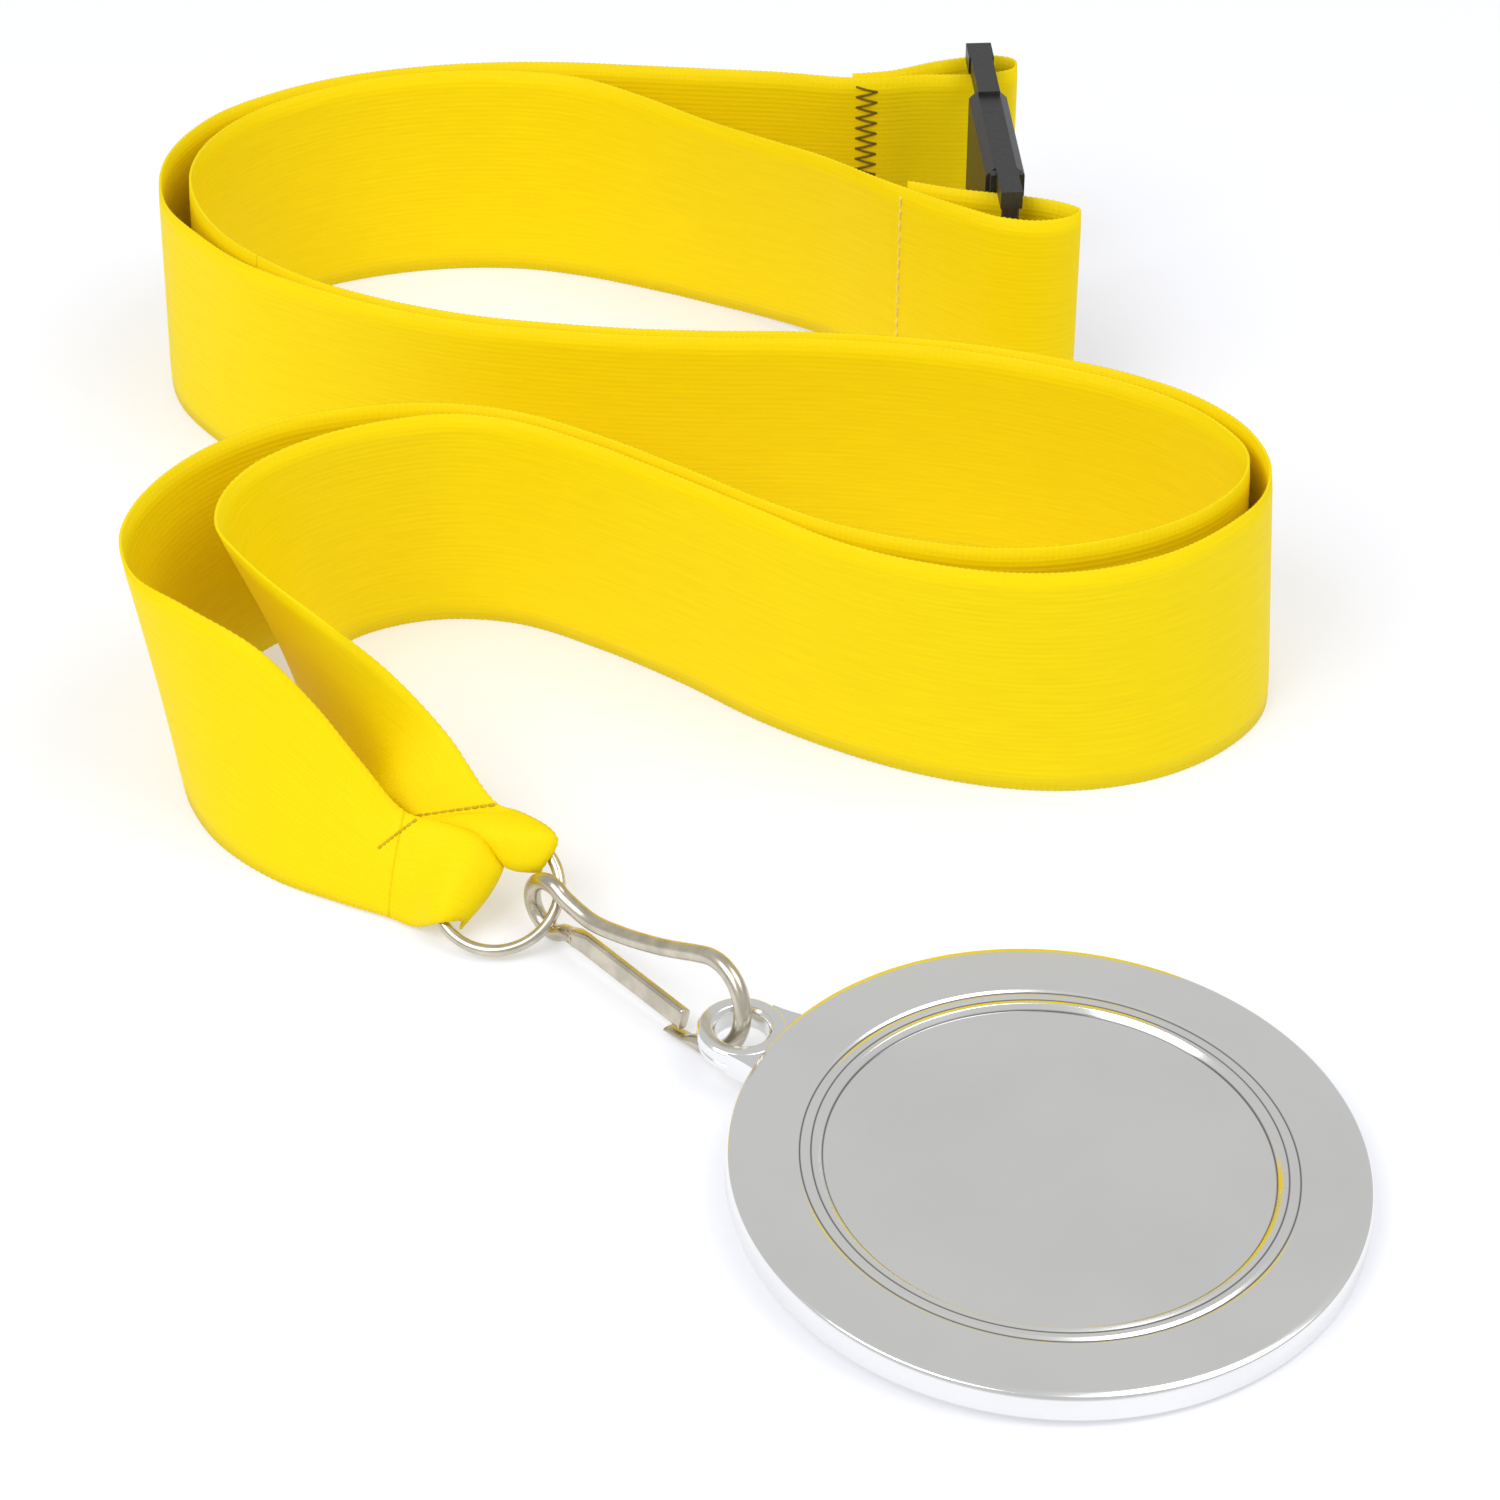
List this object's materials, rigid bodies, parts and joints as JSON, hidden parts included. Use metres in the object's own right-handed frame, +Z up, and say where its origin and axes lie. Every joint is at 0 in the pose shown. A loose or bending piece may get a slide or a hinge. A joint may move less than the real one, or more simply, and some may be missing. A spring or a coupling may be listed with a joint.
{
  "type": "award medal on a neck ribbon",
  "caption": "Round award medal with a plain recessed centre, snap hook and ring on a folded neck ribbon with a breakaway clasp.",
  "frame": {"origin": "on the floor, under the middle of the outline of the laid-out medal and ribbon", "axes": "+Z up, the medal at -Y, the clasp at +Y, +X to the right seen from the medal side"},
  "size_m": [0.1179, 0.1882, 0.0294],
  "materials": {
    "medal_metal": "polished silver-coloured plating",
    "ring_wire": "nickel-plated wire",
    "hook_wire": "nickel-plated wire",
    "ribbon": "yellow satin weave",
    "thread": "sewing thread",
    "clasp_plastic": "moulded black plastic"
  },
  "bodies": {
    "ribbon": {"plug_run_panel": "ribbon", "plug_run_near_bend": "ribbon", "plug_run_front_pass": "ribbon", "plug_run_side_bend_front": "ribbon", "plug_run_side_bend_rear": "ribbon", "plug_run_middle_pass": "ribbon", "plug_run_far_bend_front": "ribbon", "plug_run_far_bend_rear": "ribbon", "plug_run_back_pass": "ribbon", "socket_run_panel": "ribbon", "socket_run_near_bend": "ribbon", "socket_run_front_pass": "ribbon", "socket_run_side_bend_front": "ribbon", "socket_run_side_bend_rear": "ribbon", "socket_run_middle_pass": "ribbon", "socket_run_far_bend_front": "ribbon", "socket_run_far_bend_rear": "ribbon", "socket_run_back_pass": "ribbon", "socket_hem": "ribbon", "ribbon_fold": "ribbon", "fold_stitching": "thread", "socket_hem_stitching": "thread", "clasp_socket": "clasp_plastic"},
    "medal": {"medal_body": "medal_metal"},
    "ring": {"ring": "ring_wire"},
    "hook": {"hook_body": "hook_wire"},
    "gate": {"hook_gate": "hook_wire"},
    "plug_half": {"plug_hem": "ribbon", "plug_hem_stitching": "thread", "clasp_plug": "clasp_plastic"}
  },
  "joints": [
    {"name": "ring_swing", "type": "hinge", "parent": "ribbon", "child": "ring", "pos_m": [-0.02127, -0.02732, 0.00639], "axis": [-0.7522, -0.5008, -0.4284], "range_deg": [-25, 25]},
    {"name": "hook_swing", "type": "hinge", "parent": "ring", "child": "hook", "pos_m": [-0.01212, -0.03326, 0.00363], "axis": [0.3588, 0.7564, 0.547], "range_deg": [-60, 15]},
    {"name": "medal_swing", "type": "hinge", "parent": "hook", "child": "medal", "pos_m": [0.005, -0.05106, 0.00371], "axis": [0.0327, -0.0201, 0.9993], "range_deg": [-35, 35]},
    {"name": "gate_flex", "type": "hinge", "parent": "hook", "child": "gate", "pos_m": [-0.01002, -0.03594, 0.00255], "axis": [-0.712, -0.6594, 0.2413], "range_deg": [0, 12], "stiffness_Nm_per_rad": 0.1, "springref_deg": -5.73},
    {"name": "clasp_release", "type": "slide", "parent": "ribbon", "child": "plug_half", "axis": [0.0576, -0.9983, 0], "range_m": [0, 0.014]}
  ]
}
